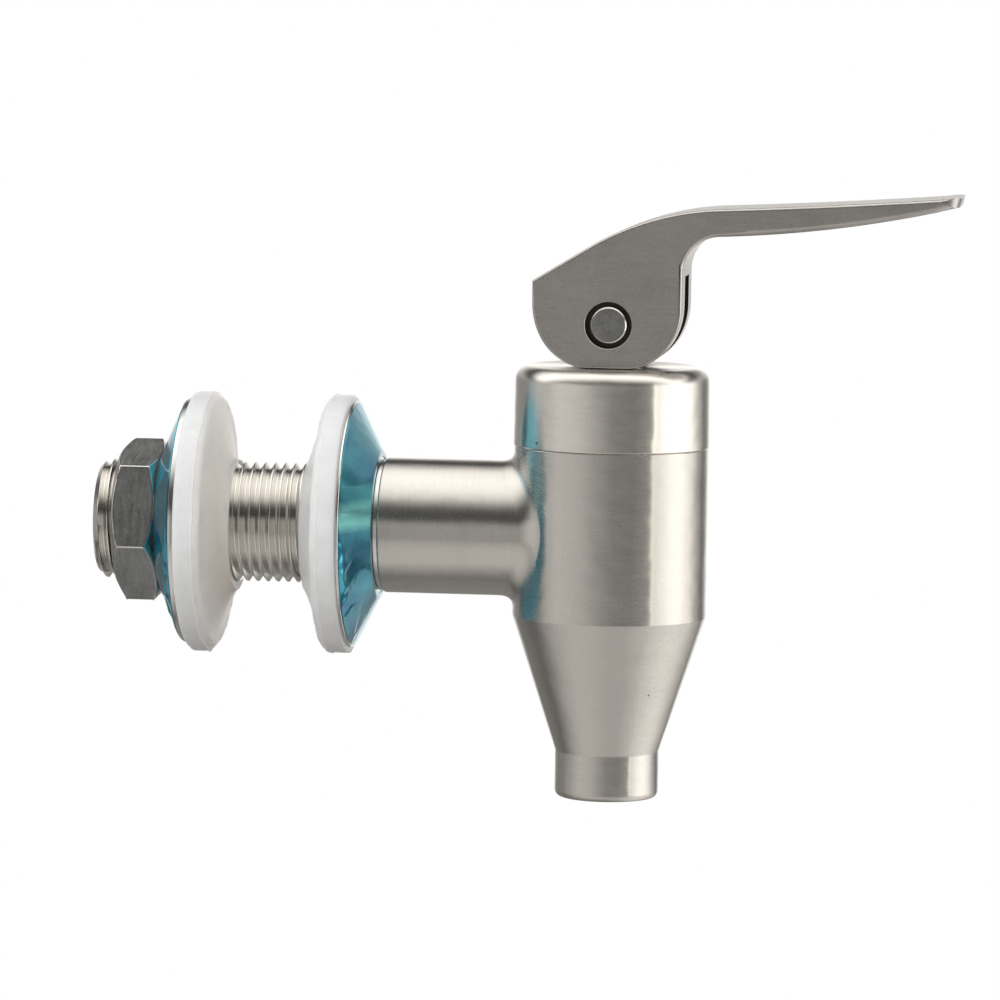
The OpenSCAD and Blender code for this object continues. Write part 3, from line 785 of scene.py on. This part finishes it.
def gasket(name, rear, node):
    """Moulded gasket: the hub flares out like a trumpet to a lip, and flash is left along the rim's edge."""
    tip_r = GASKET_BORE + 0.15
    hub_h = 0.85 * HUB_H
    rim = [(GASKET_BORE, GASKET_T), (12.0, GASKET_T), (GASKET_R - 0.5, GASKET_T), (GASKET_R - 0.15, GASKET_T - 0.15),
           (GASKET_R, GASKET_T - 0.5), (GASKET_R, 2.4), (GASKET_R, 1.4), (GASKET_R - 0.02, 1.15)]
    flash = [(GASKET_R + 0.02, 1.02), (GASKET_R + 0.03, 0.92), (GASKET_R - 0.02, 0.82)]
    lip = [(GASKET_R - 0.16, 0.76), (GASKET_R - 0.35, 0.45), (GASKET_R - 0.7, 0.16), (GASKET_R - 1.1, 0.02)]
    # The flare's radii follow in place()
    flare = [(tip_r, -hub_h * s / 16) for s in range(17)]
    profile = rim + flash + lip + flare + [(GASKET_BORE + 0.05, -hub_h), (GASKET_BORE, -hub_h + 0.1),
                                           (GASKET_BORE, GASKET_T)]
    first_flash, last_flash = len(rim), len(rim) + len(flash)
    first_flare = last_flash + len(lip)
    # Where the mould's gate has left its nib, as a share of a turn
    gate_turn = 0.735 if rear else 0.76
    seed = 40 if rear else 0

    def place(ring, turn):
        """The outline at one angle, with the sag, the moulding's unevenness, the flash and the gate's nib."""
        radius, x = profile[ring]
        angle = 2 * math.pi * turn
        if first_flare <= ring < first_flare + len(flare):
            share = (ring - first_flare) / (len(flare) - 1)
            hollow = 1.9 + 0.5 * math.sin(angle) if rear else 1.15
            radius = tip_r + (FLARE_FOOT_R - tip_r) * (1 - share) ** hollow
            radius += 0.5 * (1 - math.sin(angle)) * share
        around = (6 * math.cos(angle) + seed, 6 * math.sin(angle), x)
        if radius > GASKET_BORE + 0.4 and x < GASKET_T - 0.05:
            radius += 0.06 * soft_noise(around, 3)
            x += 0.05 * soft_noise((around[0], around[1], radius), 2.2)
        if first_flash <= ring < first_flare:
            wander = (17 * math.cos(angle) + seed, 17 * math.sin(angle), 2)
            x -= 0.12 * soft_noise(wander, 4.0) + 0.07 * soft_noise(wander, 1.1)
        if first_flash <= ring < last_flash:
            radius += 0.05 + 0.14 * max(soft_noise(wander, 1.4), 0)
        if radius > GASKET_R - 0.6 and x > 0.5:
            radius += 0.3 * math.exp(-((turn - gate_turn) / 0.012) ** 2)
        return (mirrored(x, rear), radius * math.cos(angle), radius * math.sin(angle))

    piece = ring_grid(name, len(profile), 240, place)
    smooth(piece, 35, False)
    return mount(piece, "clamp" if rear else "spigot", "silicone", silicone, node)


def washer(name, rear, node):
    """Dished washer pressed from bright sheet; the front one is bedded deeper in its gasket."""
    edge = GASKET_T + WASHER_BED["rear" if rear else "front"]
    hole_r = THREAD_R + 0.16
    profile = rounded([
        (WASHER_R, GASKET_T, 0.1), (WASHER_R, edge, 0.15), (WASHER_R - 0.1, edge, 0.02), (LAND_R, NECK_X, 0.4),
        (hole_r, NECK_X), (hole_r, NECK_X - WASHER_SHEET), (9.5, NECK_X - WASHER_SHEET), (15.6, GASKET_T)
    ], 3)
    profile = [(r, mirrored(x, rear)) for r, x in profile]
    piece = turned(name, profile, 192, "X")
    smooth(piece, 25)
    return mount(piece, "clamp" if rear else "spigot", "washer_steel", pressed_sheet, node)


def washer_film(name, rear, node):
    """Film left on the washer's cone: it lifts in small creases, most of all low down on the camera's side."""
    steps = 34
    foot = GASKET_T + WASHER_BED["rear" if rear else "front"]
    slope = (NECK_X - foot) / (WASHER_R - 0.1 - LAND_R)
    outer, inner = WASHER_R - (0.3 if rear else 0.2), LAND_R - (0.1 if rear else 0.6)
    tilt = math.atan(slope)
    seed = 17 if rear else 0

    def place(ring, turn):
        """Out along the film's top and back along its underside, which lies on the washer."""
        angle = 2 * math.pi * turn
        top = ring <= steps
        share = ring / steps if top else (2 * steps + 1 - ring) / steps
        ragged = 0.12 * soft_noise((9 * math.cos(angle) + seed, 9 * math.sin(angle), 3), 1.2)
        radius = outer + ragged + (inner - outer) * share
        lift = 0.02 if top else 0.0
        low = math.exp(-((turn - 0.585) / 0.075) ** 2)
        # The creases die out where the grid's two ends meet, so that they join
        seam = min(turn / 0.03, (1 - turn) / 0.03, 1)
        round_way = 13 * turn * 2 * math.pi
        fold = 1 - abs(soft_noise((radius * 0.6 + seed, round_way - 0.5 * radius, 5), 2.0)) * 2.4
        ripple = soft_noise((radius * 0.8 + seed, round_way + 0.4 * radius, 9), 0.9)
        edge = math.exp(-(share / 0.42) ** 2) * min(share / 0.08, 1)
        lift += (0.3 * max(fold, 0) ** 2 + 0.08 * ripple + 0.05) * low * edge * seam
        lift += 0.03 * max(fold, 0) ** 3 * min(share / 0.08, 1) * (1 - share) * seam
        lift += FILM_T if top else 0.0
        x = min(foot + (WASHER_R - 0.1 - radius) * slope, NECK_X) + lift * math.cos(tilt)
        radius += lift * math.sin(tilt)
        return (mirrored(x, rear), radius * math.cos(angle), radius * math.sin(angle))

    piece = ring_grid(name, 2 * steps + 2, 420, place)
    to_edit(piece)
    bpy.ops.mesh.select_all(action="DESELECT")
    bpy.ops.mesh.select_non_manifold()
    bpy.ops.mesh.bridge_edge_loops()
    close_edit()
    smooth(piece, 60, False)
    return mount(piece, "clamp" if rear else "spigot", "blue_film", film, node)


def hex_nut():
    """Thin hexagon nut: chamfered on both faces, corners broken."""
    corner = NUT_AF / math.sqrt(3)
    middle = (NUT_NEAR + NUT_FAR) / 2
    depth = NUT_NEAR - NUT_FAR
    clear_selection()
    bpy.ops.mesh.primitive_cylinder_add(vertices=6, radius=corner * MM, depth=depth * MM)
    piece = bpy.context.object
    piece.name = piece.data.name = "clamp_nut"
    first = math.atan2(piece.data.vertices[0].co.y, piece.data.vertices[0].co.x)
    turn = Matrix.Rotation(math.radians(NUT_TURN) - first, 4, "Z")
    piece.data.transform(Matrix.Translation((middle * MM, 0, 0)) @ Z_TO_X @ turn)
    # Both faces are turned off at 30 degrees, outside a circle a little under the width across flats
    face_r, blank_r = 0.475 * NUT_AF, corner + 1
    chamfer = (blank_r - face_r) * math.tan(math.radians(30))
    blank = [(0, NUT_FAR), (face_r, NUT_FAR), (blank_r, NUT_FAR + chamfer), (blank_r, NUT_NEAR - chamfer),
             (face_r, NUT_NEAR), (0, NUT_NEAR)]
    cut(piece, turned("blank", blank, 144, "X"), "INTERSECT")
    bore_r, lead = THREAD_R + 0.1, 0.41
    bore = [(0, NUT_FAR - 1), (bore_r + lead, NUT_FAR - 1), (bore_r + lead, NUT_FAR), (bore_r, NUT_FAR + lead),
            (bore_r, NUT_NEAR - lead), (bore_r + lead, NUT_NEAR), (bore_r + lead, NUT_NEAR + 1),
            (0, NUT_NEAR + 1)]
    cut(piece, turned("bore", bore, 96, "X"))
    # The bevel gives the broken edges the second finish, lighter and glossier: a painted highlight where the edges
    # catch the light
    piece.data.materials.clear()
    for finish in (machined_nut, pressed_sheet):
        piece.data.materials.append(finish)
    apply(piece, "BEVEL", limit_method="ANGLE", angle_limit=math.radians(24), width=0.16 * MM, segments=2,
          material=1)
    smooth(piece, 28)
    # Which faces carry the painted edge highlight, kept through mounting
    painted_edge_highlight = [face.material_index for face in piece.data.polygons]
    mount(piece, "nut", "nut_steel", machined_nut, "hex_nut")
    piece.data.materials.append(pressed_sheet)
    piece.data.polygons.foreach_set("material_index", painted_edge_highlight)
    return piece


valve_body()
cap()
inlet_shank()
lever()
pivot_pin()
for side_name, is_rear in (("front", False), ("rear", True)):
    gasket(side_name + "_seal", is_rear, side_name + "_gasket")
    washer(side_name + "_dished_washer", is_rear, side_name + "_washer")
    washer_film(side_name + "_film", is_rear, side_name + "_washer_film")
hex_nut()

# What is hidden in the barrel keeps its CAD solids, which have their full shape
inner_finish = {"stem": turned_stem, "spring_washer": turned_stem, "return_spring": drawn_wire,
                "seat_cup": silicone}
for node_name, finish in inner_finish.items():
    node_object = frame["nodes"][node_name]
    node_object.data.materials.clear()
    node_object.data.materials.append(finish)


# Studio: white ground, a pale wall on the left, a large soft light above and one on the right

# A ramp's colours end at 1, so its values are stored as shares of this brightness
RAMP_TOP = 2.5
PLAIN_TINT = (1.0, 0.98, 0.95)
WHITE = (1, 1, 1, 1)
# Brightness of the room as the metal mirrors it near the horizon: degrees round from the front towards the
# right, and value; a third entry tints it
GREENISH, ROSY = (0.99, 1.0, 0.9), (1.0, 0.955, 0.93)
ROOM = [(-180, 1.3), (-165, 1.0), (-149, 0.34), (-127, 0.3), (-107, 0.38), (-84, 0.5), (-72, 0.66), (-61, 0.84),
        (-44, 0.84), (-27, 0.7), (-11, 0.46), (7, 0.26), (21, 0.22, ROSY), (31, 0.19), (45, 0.25, GREENISH),
        (53, 0.4, GREENISH), (55.2, 0.6, GREENISH), (56.2, 2.2, GREENISH), (58.4, 2.05, GREENISH), (60, 1.5),
        (67, 1.75), (81, 2.0), (99, 2.1), (114, 1.6), (128, 0.7), (144, 0.2), (155, 0.3), (169, 1.0), (180, 1.3)]
# The same overhead: degrees up from the front horizon, over the top, to the back horizon
OVERHEAD = [(0, 0.2), (15, 0.06), (34, 0.12), (43, 0.38), (57, 1.15), (71, 1.6), (91, 1.85), (113, 1.6),
            (126, 0.8), (138, 0.1), (150, 0.1), (162, 0.6), (170, 1.0), (180, 1.3)]
# The same on the table round the spigot
TABLE = [(-180, 0.3), (-135, 0.3), (-107, 0.14), (-78, 0.56), (-50, 0.74), (-22, 0.74), (7, 0.68), (34, 0.66),
         (63, 0.86), (89, 1.06), (116, 1.12), (141, 0.8), (161, 0.4), (180, 0.3)]


def angle_ramp(tree, across, along, table, first, last):
    """Brightness by the angle of the direction (along, across), from a table of angles and values."""
    angle = add_node(tree, "ShaderNodeMath", {0: across, 1: along}, operation="ARCTAN2")
    share = add_node(tree, "ShaderNodeMapRange",
                     {"Value": angle.outputs["Value"], "From Min": math.radians(first),
                      "From Max": math.radians(last), "To Min": 0.0, "To Max": 1.0})
    ramp = add_node(tree, "ShaderNodeValToRGB", {"Fac": share.outputs["Result"]})
    stops = ramp.color_ramp.elements
    for i, (degrees, value, *tint) in enumerate(table):
        tint = tint[0] if tint else PLAIN_TINT
        place = (degrees - first) / (last - first)
        stop = stops[i] if i < 2 else stops.new(place)
        stop.position = place
        stop.color = [value / RAMP_TOP * channel for channel in tint] + [1.0]
    return add_node(tree, "ShaderNodeVectorMath", {0: ramp.outputs["Color"], "Scale": RAMP_TOP}, operation="SCALE")


def studio_floor():
    """Pale table under the spigot: white to the camera, dim for dull surfaces, uneven in reflections."""
    clear_selection()
    bpy.ops.mesh.primitive_plane_add(size=1.5, location=(0.02, 0, -0.25))
    floor = bpy.context.object
    floor.name = "floor"
    material, tree = new_material("white studio floor")
    where = add_node(tree, "ShaderNodeTexCoord")
    part = add_node(tree, "ShaderNodeSeparateXYZ", {"Vector": where.outputs["Object"]})
    front = add_node(tree, "ShaderNodeMath", {0: part.outputs["Y"], 1: -1.0}, operation="MULTIPLY")
    table = angle_ramp(tree, part.outputs["X"], front.outputs["Value"], TABLE, -180, 180)
    # Darker right under the spigot, which stands in its own light, and paler again far out
    out = add_node(tree, "ShaderNodeVectorMath", {0: where.outputs["Object"]}, operation="LENGTH")
    below = add_node(tree, "ShaderNodeMapRange", {"Value": out.outputs["Value"], "From Min": 0.03, "From Max": 0.16,
                                                  "To Min": 0.0, "To Max": 1.0})
    fade = add_node(tree, "ShaderNodeMapRange", {"Value": out.outputs["Value"], "From Min": 0.35, "From Max": 0.75,
                                                 "To Min": 1.0, "To Max": 0.7})
    faded = add_node(tree, "ShaderNodeVectorMath", {0: table.outputs["Vector"], "Scale": fade.outputs["Result"]},
                     operation="SCALE")
    mirrored_table = add_node(tree, "ShaderNodeMix",
                              {"Factor": below.outputs["Result"], "A": (0.27, 0.26, 0.25, 1),
                               "B": faded.outputs["Vector"]}, data_type="RGBA")
    path = add_node(tree, "ShaderNodeLightPath")
    by_use = add_node(tree, "ShaderNodeMix",
                      {"Factor": path.outputs["Is Glossy Ray"], "A": (0.29, 0.275, 0.26, 1),
                       "B": mirrored_table.outputs["Result"]}, data_type="RGBA")
    seen = add_node(tree, "ShaderNodeMix",
                    {"Factor": path.outputs["Is Camera Ray"], "A": by_use.outputs["Result"], "B": WHITE},
                    data_type="RGBA")
    glow = add_node(tree, "ShaderNodeEmission", {"Color": seen.outputs["Result"]})
    add_node(tree, "ShaderNodeOutputMaterial", {"Surface": glow.outputs["Emission"]})
    floor.data.materials.append(material)


def studio_world():
    """The room round the table: what the metal mirrors, even light for dull surfaces, white to the camera."""
    world = bpy.data.worlds.new("studio")
    bpy.context.scene.world = world
    world.use_nodes = True
    tree = world.node_tree
    tree.nodes.clear()
    way = add_node(tree, "ShaderNodeTexCoord")
    part = add_node(tree, "ShaderNodeSeparateXYZ", {"Vector": way.outputs["Generated"]})
    front = add_node(tree, "ShaderNodeMath", {0: part.outputs["Y"], 1: -1.0}, operation="MULTIPLY")
    room = angle_ramp(tree, part.outputs["X"], front.outputs["Value"], ROOM, -180, 180)
    above = angle_ramp(tree, part.outputs["Z"], front.outputs["Value"], OVERHEAD, 0, 180)
    height = add_node(tree, "ShaderNodeMapRange", {"Value": part.outputs["Z"], "From Min": 0.06, "From Max": 0.34,
                                                   "To Min": 0.0, "To Max": 1.0}, interpolation_type="SMOOTHSTEP")
    mirrored_room = add_node(tree, "ShaderNodeMix",
                             {"Factor": height.outputs["Result"], "A": room.outputs["Vector"],
                              "B": above.outputs["Vector"]}, data_type="RGBA")
    # Dull surfaces get a plain level, a little stronger from the left and from the camera's side
    side = add_node(tree, "ShaderNodeMath", {0: part.outputs["X"], 1: -0.2, 2: 0.95}, operation="MULTIPLY_ADD")
    dull = add_node(tree, "ShaderNodeMath", {0: part.outputs["Y"], 1: -0.26, 2: side.outputs["Value"]},
                    operation="MULTIPLY_ADD")
    path = add_node(tree, "ShaderNodeLightPath")
    by_use = add_node(tree, "ShaderNodeMix",
                      {"Factor": path.outputs["Is Glossy Ray"], "A": dull.outputs["Value"],
                       "B": mirrored_room.outputs["Result"]}, data_type="RGBA")
    seen = add_node(tree, "ShaderNodeMix",
                    {"Factor": path.outputs["Is Camera Ray"], "A": by_use.outputs["Result"], "B": WHITE},
                    data_type="RGBA")
    sky = add_node(tree, "ShaderNodeBackground", {"Color": seen.outputs["Result"], "Strength": 1.0})
    add_node(tree, "ShaderNodeOutputWorld", {"Surface": sky.outputs["Background"]})


def camera(target, distance, azimuth, elevation, roll, lens):
    """The photograph's camera: angles in degrees, the target and the distance in metres."""
    data = bpy.data.cameras.new("camera")
    data.lens = lens
    data.clip_start, data.clip_end = 0.01, 20
    holder = bpy.data.objects.new("camera", data)
    bpy.context.scene.collection.objects.link(holder)
    a, e = math.radians(azimuth), math.radians(elevation)
    back = Vector((math.sin(a) * math.cos(e), -math.cos(a) * math.cos(e), math.sin(e)))
    holder.location = Vector(target) + distance * back
    look = (-back).to_track_quat("-Z", "Y").to_matrix()
    holder.rotation_euler = (look @ Matrix.Rotation(math.radians(roll), 3, "Z")).to_euler()
    bpy.context.scene.camera = holder


studio_floor()
studio_world()
camera(target=(0.0232, 0.0, 0.0037), distance=0.7467, azimuth=7.0, elevation=5.5, roll=0.8, lens=202.2)

bpy.context.scene.view_settings.view_transform = "Standard"
